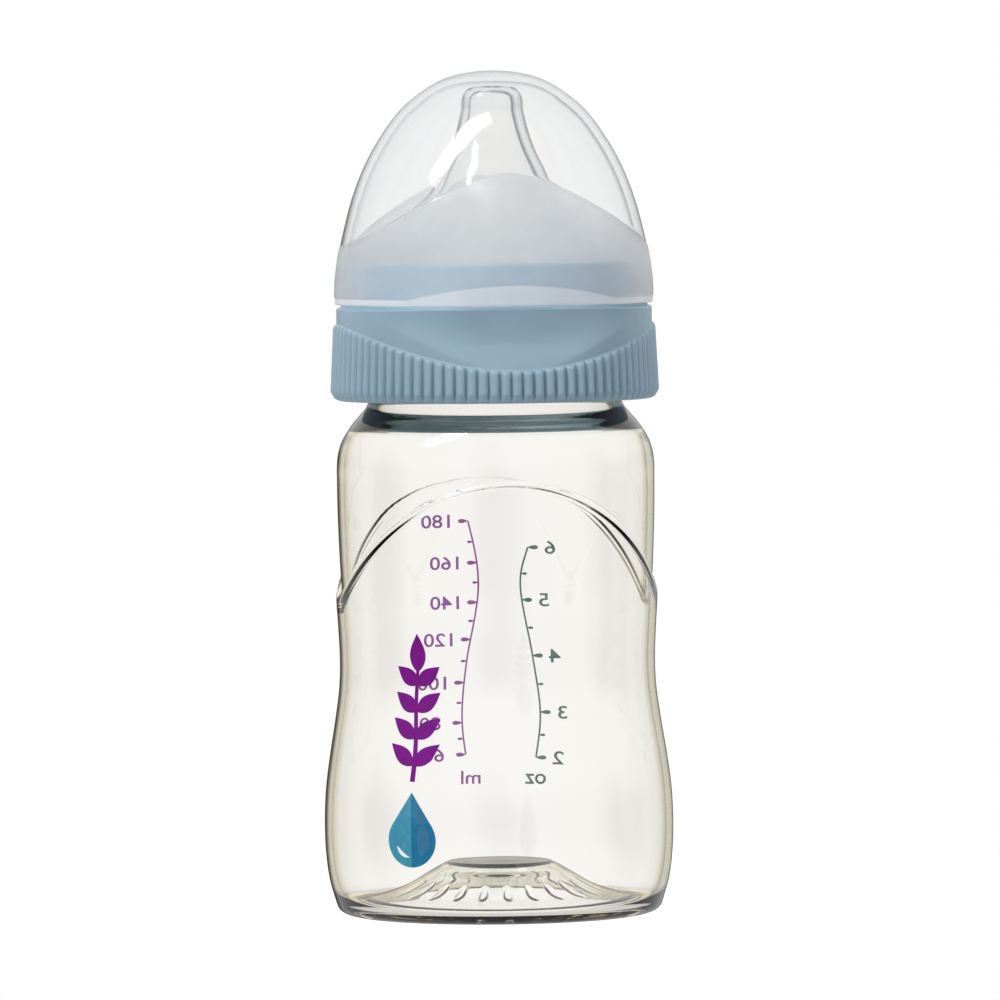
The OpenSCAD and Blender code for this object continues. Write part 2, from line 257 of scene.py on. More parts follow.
def body_plastic():
    return clear_plastic(
        "clear_amber_plastic",
        1.52,
        # Edge-on stops: the amber is partly the plastic's own tint over a longer path and partly painted
        # shade; the near black is painted shade of the outlines.
        [
            (0.0, (1, 1, 1)),
            (0.71, (0.99, 0.98, 0.95)),
            (0.82, (0.88, 0.68, 0.24)),
            (0.88, (0.62, 0.42, 0.10)),
            (0.92, (0.10, 0.07, 0.03)),
            (1.0, (0.03, 0.02, 0.01)),
        ],
        (0.0, 0.015),
        ((0.82, 0.60, 0.0), 22.0),
    )


def cap_plastic():
    return clear_plastic(
        "clear_cap_plastic",
        1.46,
        # The dark blue-grey edge-on stop is painted shade along the cap's edges and outlines.
        [(0.0, (0.985, 0.985, 0.98)), (0.7, (0.95, 0.955, 0.96)), (1.0, (0.30, 0.41, 0.50))],
        (0.0, 0.02),
        ((0.70, 0.80, 0.88), 6.0),
        waviness=0.0,
    )


def frosted_plastic(name, rough, solid, grain, dark, light):
    """The cap's etched band or its rim: it blurs what is behind it, and a share of it is milky. On the
    rim, the larger milky share and paler colour are a painted highlight.
    """
    m, tree, shader = new_material(name)
    shader.inputs["Transmission Weight"].default_value = 1 - solid
    shader.inputs["IOR"].default_value = 1.46
    colours = ramp(tree, noise(tree, 300), (NOISE_LOW, dark), (NOISE_HIGH, light))
    tree.links.new(colours, shader.inputs["Base Color"])
    uneven = 0.06
    roughness = spread(tree, noise(tree, 700), rough - uneven, rough + uneven)
    tree.links.new(roughness, shader.inputs["Roughness"])
    if grain:
        bump(tree, noise(tree, 2500, 5.0), grain, 0.05, shader)
    return m


def silicone():
    return clear_plastic(
        "clear_silicone",
        1.41,
        # The blue-grey edge-on stops are painted shade along the teat's edges and outlines.
        [
            (0.0, (0.985, 0.98, 0.965)),
            (0.6, (0.94, 0.95, 0.96)),
            (0.85, (0.66, 0.74, 0.80)),
            (1.0, (0.22, 0.34, 0.46)),
        ],
        (0.02, 0.08),
        ((0.62, 0.74, 0.84), 22.0),
        waviness=0.05,
    )


def collar_plastic():
    """Satin powder-blue moulding with a faint mottle and a fine grain."""
    m, tree, shader = new_material("powder_blue_plastic")
    deep, pale = (0.235, 0.350, 0.435), (0.265, 0.385, 0.470)
    colours = ramp(tree, noise(tree, 60, 6.0), (0.35, deep), (0.65, pale))
    tree.links.new(colours, shader.inputs["Base Color"])
    tree.links.new(spread(tree, noise(tree, 900), 0.32, 0.42), shader.inputs["Roughness"])
    shader.inputs["IOR"].default_value = 1.49
    shader.inputs["Subsurface Weight"].default_value = 0.15
    shader.inputs["Subsurface Radius"].default_value = (1.0, 1.0, 1.0)
    shader.inputs["Subsurface Scale"].default_value = 0.8 * MM
    bump(tree, noise(tree, 3500, 4.0), 0.12, 0.04, shader)
    return m


def ink(name, pale, deep):
    """Screen-printed ink, with the slight unevenness of a print."""
    m, tree, shader = new_material(name)
    colours = ramp(tree, noise(tree, 900, 4.0), (0.35, deep), (0.65, pale))
    tree.links.new(colours, shader.inputs["Base Color"])
    tree.links.new(spread(tree, noise(tree, 1500), 0.4, 0.55), shader.inputs["Roughness"])
    shader.inputs["Specular IOR Level"].default_value = 0.25
    bump(tree, noise(tree, 2000, 4.0), 0.1, 0.02, shader)
    return m


# ---------------------------------------------------------------- bottle


LOWER_SIDE = smooth([
    [FOOT_R - 2, 0],
    [FOOT_R, 0],
    [FOOT_R + 1.9, 0.9],
    [BELLY_R - 1.8, 3.1],
    [BELLY_R - 0.8, 6.8],
    [BELLY_R - 0.2, 11.5],
    [BELLY_R, 17.5],
    [BELLY_R - 0.3, 24],
    [BELLY_R - 1.15, 30.5],
    [WAIST_R + 1, 37],
    [WAIST_R + 0.2, 43],
    [WAIST_R, 48.5],
    [WAIST_R + 0.25, 54.5],
    [PANEL_R, 61],
    [PANEL_R, 72],
    [PANEL_R, 86],
    [PANEL_R, 100],
])

UPPER_SIDE = smooth([
    [CHEST_R - 1.2, 40],
    [CHEST_R - 1.2, 50],
    [CHEST_R - 0.85, 59],
    [CHEST_R - 0.4, 67],
    [CHEST_R - 0.1, 75],
    [CHEST_R, 82],
    [CHEST_R - 0.1, 86.6],
    [CHEST_R - 1, 90],
    [CHEST_R - 2.9, 93.1],
    [NECK_R + 1.6, 95.1],
    [NECK_R + 0.3, 96.8],
    [NECK_R, 98.6],
    [NECK_R, 102],
])

PUNT = smooth([
    [-PUNT_R, PUNT_Z],
    [0, PUNT_Z],
    [PUNT_R - 1, PUNT_Z],
    [PUNT_R + 0.7, PUNT_Z - 0.35],
    [PUNT_R + 3.5, PUNT_Z - 2.2],
    [PUNT_R + 8.8, 3.1],
    [FOOT_R - 4.4, 1.3],
    [FOOT_R - 2.0, 0.9],
    [FOOT_R - 1.4, 0.1],
    [FOOT_R - 1.1, 0],
    [FOOT_R - 0.8, 0],
], steps=8)

LOWER_INSIDE = smooth([
    [-PUNT_R, PUNT_Z + FLOOR_T],
    [0, PUNT_Z + FLOOR_T],
    [PUNT_R - 1, PUNT_Z + FLOOR_T],
    [PUNT_R + 1.0, PUNT_Z + FLOOR_T - 0.45],
    [PUNT_R + 4.1, PUNT_Z + FLOOR_T - 2.2],
    [PUNT_R + 9.4, 3.1 + FLOOR_T],
    [FOOT_R - 4, 1.2 + FLOOR_T],
    [FOOT_R - 0.4, 0.4 + FLOOR_T],
    [FOOT_R + 1.3, 3.2],
    [BELLY_R - WALL - 0.9, 6.6],
    [BELLY_R - WALL - 0.2, 11.5],
    [BELLY_R - WALL, 17.5],
    [BELLY_R - WALL - 0.3, 24],
    [BELLY_R - WALL - 1.15, 30.5],
    [WAIST_R - WALL + 1, 37],
    [WAIST_R - WALL + 0.2, 43],
    [WAIST_R - WALL, 48.5],
    [WAIST_R - WALL + 0.25, 54.5],
    [PANEL_R - WALL, 61],
    [PANEL_R - WALL, 72],
    [PANEL_R - WALL, 86],
    [PANEL_R - WALL, 100],
])

UPPER_INSIDE = smooth([
    [CHEST_R - WALL - 1.2, 40],
    [CHEST_R - WALL - 1.2, 50],
    [CHEST_R - WALL - 0.85, 59],
    [CHEST_R - WALL - 0.4, 67],
    [CHEST_R - WALL - 0.1, 75],
    [CHEST_R - WALL, 81],
    [CHEST_R - WALL - 0.2, 86.5],
    [CHEST_R - WALL - 0.8, 89.3],
    [CHEST_R - WALL - 1.9, 91.6],
    [MOUTH_R + 3.1, 93.6],
    [MOUTH_R + 1.2, 95.1],
    [MOUTH_R + 0.3, 96.9],
    [MOUTH_R, 99.4],
    [MOUTH_R, 104],
])


def radius_at(curve, z):
    """Radius of a side curve at height z."""
    return np.interp(z, curve[:, 1], curve[:, 0])


def arch_share(theta, z, soft, inset):
    """1 inside the panels' arch, 0 outside it, with a soft step between."""
    inside = ARCH_R - inset - np.hypot(PANEL_R * np.cos(theta), z - ARCH_Z)
    return smoothstep(inside / soft + 0.5)


def base_dashes(theta, r):
    """Height of the ring of small raised dashes under the sloping base."""
    dashes, ring_r, half_long, half_wide, high, bluntness = 24, 17.0, 2.6, 0.8, 0.3, 1.6
    pitch = 2 * math.pi / dashes
    across = ((theta + pitch / 2) % pitch - pitch / 2) * ring_r
    lump = 1 - ((r - ring_r) / half_long) ** 2 - (across / half_wide) ** 2
    return high * smoothstep(bluntness * lump)


def thread_height(theta, z, start_z, turns, crest):
    """Height of a right-handed thread that fades out at both ends."""
    pitch, half_crest, half_root, fade = 6.0, 0.6, 1.1, 0.12
    height = np.zeros_like(theta)
    for turn in range(2):
        along = theta / (2 * math.pi) + turn
        gap = np.abs(z - (start_z + pitch * along))
        flank = (half_root - gap) / (half_root - half_crest)
        run_out = smoothstep(np.minimum(along, turns - along) / fade)
        height = np.maximum(height, crest * smoothstep(flank) * run_out)
    return height


def neck_thread(theta, z):
    """Height of the right-handed thread over the plain neck."""
    return thread_height(theta, z, start_z=102.6, turns=1.5, crest=1.6)


def arched_rings(theta, lower, upper, soft, inset=0.0):
    """Rings up a side whose skin steps from the upper curve out to the lower one inside the arch."""
    step_low, step_high, rise = 59.0, 84.6, 0.25
    rings = [ring(theta, r, z) for r, z in lower if z < step_low]
    for z in np.arange(step_low, step_high, rise):
        high_r, low_r = radius_at(upper, z), radius_at(lower, z)
        rings.append(ring(theta, high_r + (low_r - high_r) * arch_share(theta, z, soft, inset), z))
    return rings + [ring(theta, r, z) for r, z in upper if z > step_high + 0.2]


def bottle_rings(theta):
    rings = [ring(theta, r, z - base_dashes(theta, r)) for r, z in PUNT]
    rings += arched_rings(theta, LOWER_SIDE, UPPER_SIDE, soft=0.5)
    neck_low, rise, lip = 99.0, 0.3, 0.5
    for z in np.arange(neck_low, RIM_Z - 0.9, rise):
        rings.append(ring(theta, NECK_R + neck_thread(theta, z), z))
    for a in np.radians([0, 30, 60, 90]):
        rings.append(ring(theta, NECK_R - lip + lip * math.cos(a), RIM_Z - lip + lip * math.sin(a)))
    for a in np.radians([90, 120, 150, 180]):
        rings.append(ring(theta, MOUTH_R + lip + lip * math.cos(a), RIM_Z - lip + lip * math.sin(a)))
    rings += [ring(theta, MOUTH_R, z) for z in (112, 109, 106, 103.5)]
    inside = arched_rings(theta, LOWER_INSIDE, UPPER_INSIDE, soft=1.0, inset=WALL / 2)
    return rings + inside[::-1]


def make_bottle():
    verts, faces = surface(bottle_rings(angles(360)))
    obj = add_mesh("bottle_body_clear", verts, faces, [body_plastic()])
    obj.visible_shadow = False
    return dress(obj, "bottle", "body_clear", "bottle_body")


# ---------------------------------------------------------------- screw collar


RIBS = 90
RIB_TIP_R = 31.26
RIB_TOP_R = 30.6
VALLEY_R = 30.15
COLLAR_R = 30.0
NOTCH_Z = 115.4
SEAT_Z = 115.9
SEAT_R = 29.2
WAVE_LOW = 103.9
WAVE_RISE = 8.9
WAVE_HALF_W = 30.9


def wave_z(theta):
    """Height where the ribs end: low at the front and back, high at the sides."""
    return WAVE_LOW + WAVE_RISE * (COLLAR_R * np.cos(theta) / WAVE_HALF_W) ** 2


def rib_height(theta, z, wave):
    """How far the ribs stand out of the skirt, with rounded crests and rounded upper ends."""
    half_rib, chamfer, round_end = 0.43, 1.7, 0.9
    phase = (theta * RIBS / (2 * math.pi)) % 1 - 0.5
    crest = np.sqrt(np.clip(1 - (phase / half_rib) ** 2, 0, 1))
    heights = [COLLAR_Z, COLLAR_Z + chamfer, WAVE_LOW + WAVE_RISE]
    tip = np.interp(z, heights, [VALLEY_R + 0.1, RIB_TIP_R, RIB_TOP_R])
    end = np.clip((wave - z) / round_end, 0, 1)
    return (tip - VALLEY_R) * crest * np.sqrt(1 - (1 - end) ** 2)


DISH_TOP = 119.8
DISH_DROP = 3.7
DISH_HALF_W = 23.2


def dish_edge(theta):
    """Upper edge of the thumb bowl, which lies on the cap's rim."""
    return DISH_TOP - DISH_DROP * (COLLAR_R * np.cos(theta) / DISH_HALF_W) ** 2


def thumb_dish(theta, z):
    """Depth of the bowl for a thumb, front and back, that runs from the collar up onto the cap's rim."""
    low_z, deep_z, deep, blunt = 103.2, 109.0, 2.3, 0.3
    side_rise, side_bend, bowl_reach, bowl_bend = 13.2, 1.15, 5.5, 1.4
    across = np.sqrt((COLLAR_R * np.cos(theta) / DISH_HALF_W) ** 2 + blunt**2) - blunt
    inside = np.maximum(z - low_z - side_rise * across**side_bend, 0)
    bowl = 1 - np.exp(-((inside / bowl_reach) ** bowl_bend))
    closing = np.clip((dish_edge(theta) - z) / (DISH_TOP - deep_z), 0, 1)
    return deep * bowl * closing


def scooped_r(theta, z):
    """Radius of the smooth part between the ribs and the cap."""
    return COLLAR_R - thumb_dish(theta, z)


def collar_thread(theta, z):
    """Height of the collar's inside thread, which sits just under the neck's."""
    starts_at = math.radians(-30)
    local = (theta - starts_at) % (2 * math.pi)
    return thread_height(local, z, start_z=100.8, turns=1.2, crest=1.5)


def collar_rings(theta):
    local = theta - CLOCKING
    wave = wave_z(local)
    bore_r, ledge_r, ring_in, ring_out = 26.0, 22.0, 26.3, 27.8
    ledge_low, ledge_top = 116.3, 118.0
    rings = [ring(theta, VALLEY_R - 0.6, COLLAR_Z), ring(theta, VALLEY_R - 0.1, COLLAR_Z + 0.15)]
    rounded_ends = 1 - np.array([0.085, 0.07, 0.055, 0.04, 0.025, 0.012, 0])
    for t in [*np.linspace(0.03, 0.9, 22), *rounded_ends]:
        z = COLLAR_Z + (wave - COLLAR_Z) * t
        rings.append(ring(theta, VALLEY_R + rib_height(local, z, wave), z))
    start_z, edge_z = wave + 0.04, NOTCH_Z - 0.35
    for t in np.linspace(0, 1, 40):
        z = start_z + (edge_z - start_z) * t
        rings.append(ring(theta, scooped_r(local, z), z))
    profile = [
        [COLLAR_R - 0.1, NOTCH_Z - 0.1],
        [COLLAR_R - 0.35, NOTCH_Z],
        [SEAT_R + 0.1, NOTCH_Z],
        [SEAT_R, NOTCH_Z + 0.1],
        [SEAT_R, SEAT_Z - 0.1],
        [SEAT_R - 0.1, SEAT_Z],
        [ring_out + 0.15, SEAT_Z],
        [ring_out, SEAT_Z + 0.15],
        [ring_out, RING_Z - 0.75],
        [ring_out - 0.2, RING_Z - 0.25],
        [ring_out - 0.6, RING_Z],
        [ring_in + 0.5, RING_Z],
        [ring_in + 0.15, RING_Z - 0.2],
        [ring_in, RING_Z - 0.6],
        [ring_in, ledge_top + 0.2],
        [ring_in - 0.2, ledge_top],
        [ledge_r + 0.25, ledge_top],
        [ledge_r, ledge_top - 0.25],
        [ledge_r, ledge_low + 0.25],
        [ledge_r + 0.25, ledge_low],
        [bore_r - 0.25, ledge_low],
        [bore_r, ledge_low - 0.25],
    ]
    rings += [ring(theta, np.minimum(r, scooped_r(local, z)), z) for r, z in profile]
    bore_top, fall = 115.5, 0.35
    for z in np.arange(bore_top, COLLAR_Z + 0.4, -fall):
        rings.append(ring(theta, bore_r - collar_thread(theta, z), z))
    rings.append(ring(theta, bore_r + 0.3, COLLAR_Z))
    return rings


def make_collar():
    verts, faces = surface(collar_rings(angles(RIBS * 12)), loop=True)
    obj = add_mesh("screw_collar_ribbed", verts, faces, [collar_plastic()])
    return dress(obj, "collar", "collar_blue", "screw_collar")


# ---------------------------------------------------------------- teat


TEAT_SIDE = smooth([
    [25.3, 116],
    [25.5, 119.4],
    [25.5, 121.8],
    [24.4, 125],
    [21.4, 128.1],
    [18.4, 130.8],
    [15.6, 133.7],
    [13, 135.9],
    [11.2, 138.2],
    [9.9, 141.3],
    [8.2, 144.8],
    [6.9, 148.4],
    [6, 152.4],
    [5.7, TEAT_TOP - 2.5],
    [4.2, TEAT_TOP - 0.45],
    [0, TEAT_TOP],
    [-4.2, TEAT_TOP - 0.45],
])


def teat_profile():
    """Once round the teat's section: flange, groove, outer side, milk hole and back down the inside."""
    hole_r, waist_r, flange_r, opening_r = 0.4, 21.6, 25.2, 18.2
    low, flange_top, groove_top = RIM_Z + 0.1, TEAT_TOP - 41.2, 118.0
    inner_low, tip_low = 120.2, TEAT_TOP - 8
    outer = TEAT_SIDE[TEAT_SIDE[:, 0] > hole_r]
    inner = shifted(TEAT_SIDE, TEAT_WALL)
    inner = inner[(inner[:, 1] > inner_low) & (inner[:, 1] < tip_low)]
    tip = smooth([
        inner[-4],
        inner[-1],
        [4.5, TEAT_TOP - 5],
        [4.35, TEAT_TOP - 2.9],
        [3.5, TEAT_TOP - 1.5],
        [2, TEAT_TOP - 1.05],
        [hole_r, TEAT_TOP - 1],
        [-1, TEAT_TOP - 1],
    ])
    return [
        [opening_r, low],
        [flange_r - 0.2, low],
        [flange_r, low + 0.2],
        [flange_r, flange_top - 0.2],
        [flange_r - 0.2, flange_top],
        [waist_r + 0.2, flange_top],
        [waist_r, flange_top + 0.2],
        [waist_r, groove_top],
        [waist_r + 0.2, groove_top + 0.2],
        [24.8, groove_top + 0.35],
        *outer,
        [hole_r, TEAT_TOP - 0.05],
        *tip[:0:-1],
        *inner[::-1],
        [opening_r, groove_top + 0.6],
    ]


def make_teat():
    theta = angles(192)
    verts, faces = surface([ring(theta, r, z) for r, z in teat_profile()], loop=True)
    obj = add_mesh("teat_silicone", verts, faces, [silicone()])
    obj.visible_shadow = False
    dress(obj, "teat", "silicone_clear", "teat")
    tip_z, root_z, valve_y = 111.3, RIM_Z + 0.05, 19.9
    nozzle = [[0, tip_z], [0.75, tip_z], [0.9, tip_z + 0.1], [1.3, root_z], [0, root_z]]
    verts, faces = surface([ring(angles(32), r, z) + [0, valve_y, 0] for r, z in nozzle])
    valve = add_mesh("teat_vent_valve", verts, faces, [obj.data.materials[0]])
    dress(valve, "teat", "silicone_clear")


# ---------------------------------------------------------------- travel cap


CAP_SIDE = smooth([
    [CAP_R, CAP_Z - 3],
    [CAP_R, CAP_Z],
    [CAP_R, CAP_Z + 3],
    [CAP_R - 0.25, CAP_Z + 6],
    [CAP_R - 0.75, CAP_Z + 9.4],
    [CAP_R - 1.75, CAP_Z + 14],
    [CAP_R - 3.3, CAP_Z + 19.8],
    [CAP_R - 5.5, CAP_Z + 25.6],
    [CAP_R - 8.4, CAP_Z + 31],
    [CAP_R - 12.2, CAP_TOP - 7.9],
    [CAP_R - 16, CAP_TOP - 4.5],
    [CAP_R - 20.4, CAP_TOP - 1.8],
    [CAP_R - 25, CAP_TOP - 0.45],
    [0, CAP_TOP],
    [25 - CAP_R, CAP_TOP - 0.45],
], steps=12)


def hill_z(theta):
    """Upper edge of the frosted band: a hill at the front and back, low at the sides."""
    peak, drop, band_r, half_w, bend = 24.8, 14.4, 28.4, 29.2, 1.6
    return CAP_Z + peak - drop * np.abs(band_r * np.cos(theta) / half_w) ** bend


def along_cap(start_z, end_z, count):
    """Rings up the cap's outer side from start_z to end_z, each a number or one for each angle."""
    heights = CAP_SIDE[:, 1]
    run = np.concatenate([[0], np.cumsum(np.linalg.norm(np.diff(CAP_SIDE, axis=0), axis=1))])
    start, end = np.interp(start_z, heights, run), np.interp(end_z, heights, run)
    for t in np.linspace(0, 1, count):
        s = start + (end - start) * t
        yield np.interp(s, run, CAP_SIDE[:, 0]), np.interp(s, run, heights)


def cap_materials():
    return [
        cap_plastic(),
        frosted_plastic(
            "frosted_cap_plastic",
            rough=0.46,
            solid=0.18,
            grain=0.15,
            dark=(0.76, 0.78, 0.80),
            light=(0.82, 0.835, 0.855),
        ),
        # The rim's larger milky share and paler colour are a painted highlight: they stand for the light
        # band of the rim's reflection of the floor.
        frosted_plastic(
            "cap_rim_plastic",
            rough=0.36,
            solid=0.60,
            grain=0.0,
            dark=(0.86, 0.87, 0.90),
            light=(0.90, 0.91, 0.94),
        ),
    ]


def make_cap():
    theta = angles(360)
    local = theta - CLOCKING
    hill = hill_z(local)
    # Slot 2 is the rim, whose whiter and more milky plastic is a painted highlight.
    clear, frosted, rim_painted_highlight = 0, 1, 2
    rim_band, frosted_rows = 1.2, 60
    rings, kinds = [], []

    def add(kind, r, z):
        rings.append(ring(theta, r, z))
        kinds.append(kind)

    inner = shifted(CAP_SIDE, CAP_WALL)
    for r, z in inner[::-2]:
        if z > CAP_Z + CAP_WALL:
            add(clear, r, z)
    for r, z in [[CAP_R - CAP_WALL - 0.1, CAP_Z + 0.2], [CAP_R - CAP_WALL + 0.1, CAP_Z]]:
        add(rim_painted_highlight, r, z)
    for r, z in [[CAP_R - 0.25, CAP_Z], [CAP_R - 0.08, CAP_Z + 0.08], [CAP_R, CAP_Z + 0.25]]:
        add(rim_painted_highlight, r - thumb_dish(local, z), z)
    # The rim's painted highlight reaches up to the thumb bowl's edge at the front and back.
    band_z = np.maximum(CAP_Z + rim_band, dish_edge(local))
    for r, z in along_cap(CAP_Z + 0.5, band_z, 20):
        add(rim_painted_highlight, r - thumb_dish(local, z), z)
    for i, (r, z) in enumerate(along_cap(band_z + 0.05, hill, frosted_rows)):
        add(frosted, r + FROST * min(1, (i + 1) / 4, (frosted_rows - i) / 5), z)
    for r, z in along_cap(hill + 0.12, CAP_TOP, 80):
        add(clear, r, z)
    verts, faces = surface(rings)
    slots = [kind for kind in kinds[:-1] for _ in theta]
    obj = add_mesh("travel_cap_clear", verts, faces, cap_materials(), slots[: len(faces)])
    obj.visible_shadow = False
    return dress(obj, "cap", "cap_clear", "travel_cap")


# ---------------------------------------------------------------- prints


INK_LIFT = 0.02
INK_T = 0.05


def on_skin(points, turn):
    """Points drawn as (x, z) in front of the bottle, thrown onto the panels' skin and turned round it."""
    p = np.array(points, float)
    r = radius_at(LOWER_SIDE, p[:, 1]) + INK_LIFT + p[:, 2]
    y = -np.sqrt(r**2 - p[:, 0] ** 2)
    c, s = math.cos(turn), math.sin(turn)
    return np.stack([c * p[:, 0] - s * y, s * p[:, 0] + c * y, p[:, 1]], 1)


def print_mesh(name, shapes, materials, turn):
    """One thin printed piece from flat shapes: ((points, faces), material's slot, lift)."""
    verts, faces, slots = [], [], []
    for (points, tris), slot, lift in shapes:
        base, n = len(verts), len(points)
        flat = np.array(points, float)
        low = np.column_stack([flat, np.full(n, lift)])
        high = np.column_stack([flat, np.full(n, lift + INK_T)])
        verts += [*on_skin(high, turn), *on_skin(low, turn)]
        edges = {}
        for tri in tris:
            for a, b in zip(tri, [*tri[1:], tri[0]]):
                edges[(a, b)] = True
            faces.append([base + i for i in tri])
            faces.append([base + n + i for i in reversed(tri)])
            slots += [slot, slot]
        for a, b in edges:
            if (b, a) not in edges:
                faces.append([base + a, base + n + a, base + n + b, base + b])
                slots.append(slot)
    return add_mesh(name, verts, faces, materials, slots, flat=True)


def strip(left, right):
    """A band between two lines of as many points, as points and quads."""
    n = len(left)
    return [*left, *right], [[i, n + i, n + i + 1, i + 1] for i in range(n - 1)]


def band(line, width):
    """A stroke of even or changing width along a line of (x, z) points."""
    line = np.array(line, float)
    d = np.gradient(line, axis=0)
    n = np.stack([d[:, 1], -d[:, 0]], 1) / np.linalg.norm(d, axis=1)[:, None]
    half = (np.ones(len(line)) * width / 2)[:, None]
    return strip(line - n * half, line + n * half)


def tick(x, z, side, length, height):
    """A mark that swells from its line and ends rounded, like a drop on its side."""
    count, thinnest, widest, middle, reach = 12, 0.12, 1.35, 0.45, 0.56
    t = np.linspace(0, 1, count)
    rounded = np.sqrt(np.clip(1 - ((t - middle) / reach) ** 2, 0, 1))
    width = height * np.maximum(thinnest, np.sqrt(t) * rounded * widest)
    return band(np.stack([x + side * length * t, np.full(count, z)], 1), width)


def lettering(text, height, wide, centre_x, centre_z):
    """Points and triangles of mirrored lettering of that height, stretched sideways, about a centre."""
    curve = bpy.data.curves.new("lettering", "FONT")
    curve.body = text
    curve.resolution_u = 4
    curve.offset = 0.012
    holder = bpy.data.objects.new("lettering", curve)
    bpy.context.scene.collection.objects.link(holder)
    bpy.context.view_layer.update()
    flat = holder.to_mesh()
    points = np.array([v.co[:2] for v in flat.vertices])
    tris = [list(p.vertices) for p in flat.polygons]
    holder.to_mesh_clear()
    bpy.data.objects.remove(holder)
    bpy.data.curves.remove(curve)
    low, high = points.min(0), points.max(0)
    points = (points - (low + high) / 2) * [wide, 1] * height / (high[1] - low[1])
    points[:, 0] *= -1
    return points + [centre_x, centre_z], [tri[::-1] for tri in tris]


FIGURE_H = 2.6
FIGURE_STRETCH = 1.28
ML_HEIGHTS = {60: 27.9, 80: 34.2, 100: 42.1, 120: 50.4, 140: 57.5, 160: 65.2, 180: 73.3}
OZ_HEIGHTS = {2: 27.2, 3: 36.2, 4: 47.2, 5: 57.9, 6: 68.1}
ML_LINE = [[-2, 21], [-3.7, 27.9], [-4.5, 36], [-3.6, 46], [-1, 60.7], [-3, 73.3], [-6, 80]]
OZ_LINE = [[9, 20], [10.2, 27.2], [11, 36.2], [9.5, 47.2], [7.3, 60.5], [8.8, 68.1], [11, 74]]


def scale_shapes(route, heights, side, figure_gap, unit):
    """A measuring scale as the front sees it, through the bottle: line, marks, figures and unit."""
    line = smooth(route, steps=10)
    z = np.array(list(heights.values()))
    x = np.interp(z, line[:, 1], line[:, 0])
    mid_z = (z[1:] + z[:-1]) / 2
    mid_x = np.interp(mid_z, line[:, 1], line[:, 0])
    shapes = [(band(line, 0.34), 0, 0.0)]
    shapes += [(tick(a, b, side, 2.0, 0.8), 0, 0.0) for a, b in zip(x, z)]
    shapes += [(tick(a, b, side, 1.2, 0.5), 0, 0.0) for a, b in zip(mid_x, mid_z)]
    for figure, a, b in zip(heights, x, z):
        place = a + side * figure_gap
        shapes.append((lettering(str(figure), FIGURE_H, FIGURE_STRETCH, place, b), 0, 0.0))
    shapes.append((lettering(*unit), 0, 0.0))
    return shapes


def behind(shapes):
    """The same shapes for a print on the back, which is turned half round the bottle."""
    out = []
    for (points, faces), slot, lift in shapes:
        out.append(((np.array(points) * [-1, 1], [f[::-1] for f in faces]), slot, lift))
    return out


def leaf(x, z, angle, length, width):
    """A pointed leaf that bulges below its middle, from its stalk."""
    t = np.linspace(0, 1, 14)
    half = width / 2 * np.sin(math.pi * t**0.8)
    along = np.array([math.cos(angle), math.sin(angle)])
    across = np.array([-along[1], along[0]])
    middle = np.array([x, z]) + np.outer(t * length, along)
    return strip(middle + half[:, None] * across, middle - half[:, None] * across)


def sprig_shapes():
    """A swaying stem with a leaf at its top and pairs of leaves, shorter and shorter, up its length."""
    low_z, high_z, count, sway = 27.0, 48.0, 16, 0.25
    pairs, first, apart, leaf_long, shorter, lean = 4, 3, 5, 6.6, 0.3, math.radians(52)
    wave = sway * np.sin(np.linspace(0, 2 * math.pi, count))
    stem = np.stack([wave, np.linspace(low_z, high_z, count)], 1)
    shapes = [(band(stem, np.linspace(1.05, 0.7, count)), 0, 0.0)]
    shapes.append((leaf(0, high_z - 0.6, math.pi / 2, 7.3, 3.4), 0, 0.0))
    for i in range(pairs):
        for side in (-1, 1):
            angle = math.pi / 2 - side * lean
            foot_z = low_z + first + apart * i
            shapes.append((leaf(0, foot_z, angle, leaf_long - shorter * i, 3.0), 0, 0.0))
    return shapes


def drop_shapes():
    """A milk drop with a paler half and a curved glint."""
    r, centre_z, tip, glint_r = 5.1, 16.0, 9.0, 3.2
    touch = math.asin(r / tip)
    t = np.linspace(-touch, math.pi / 2, 20)
    half = np.array([[0, centre_z + tip], *np.stack([r * np.cos(t), centre_z - r * np.sin(t)], 1)])
    axis = np.stack([np.zeros(len(half)), half[:, 1]], 1)
    right = strip(axis, half)
    left = strip(half * [-1, 1], axis)
    a = np.radians(np.linspace(200, 262, 14))
    glint = np.stack([glint_r * np.cos(a), centre_z + glint_r * np.sin(a)], 1)
    width = 0.75 * np.sin(np.linspace(0.15, math.pi - 0.15, 14))
    return [(right, 0, 0.0), (left, 1, 0.0), (band(glint[::-1], width), 2, INK_T + 0.01)]


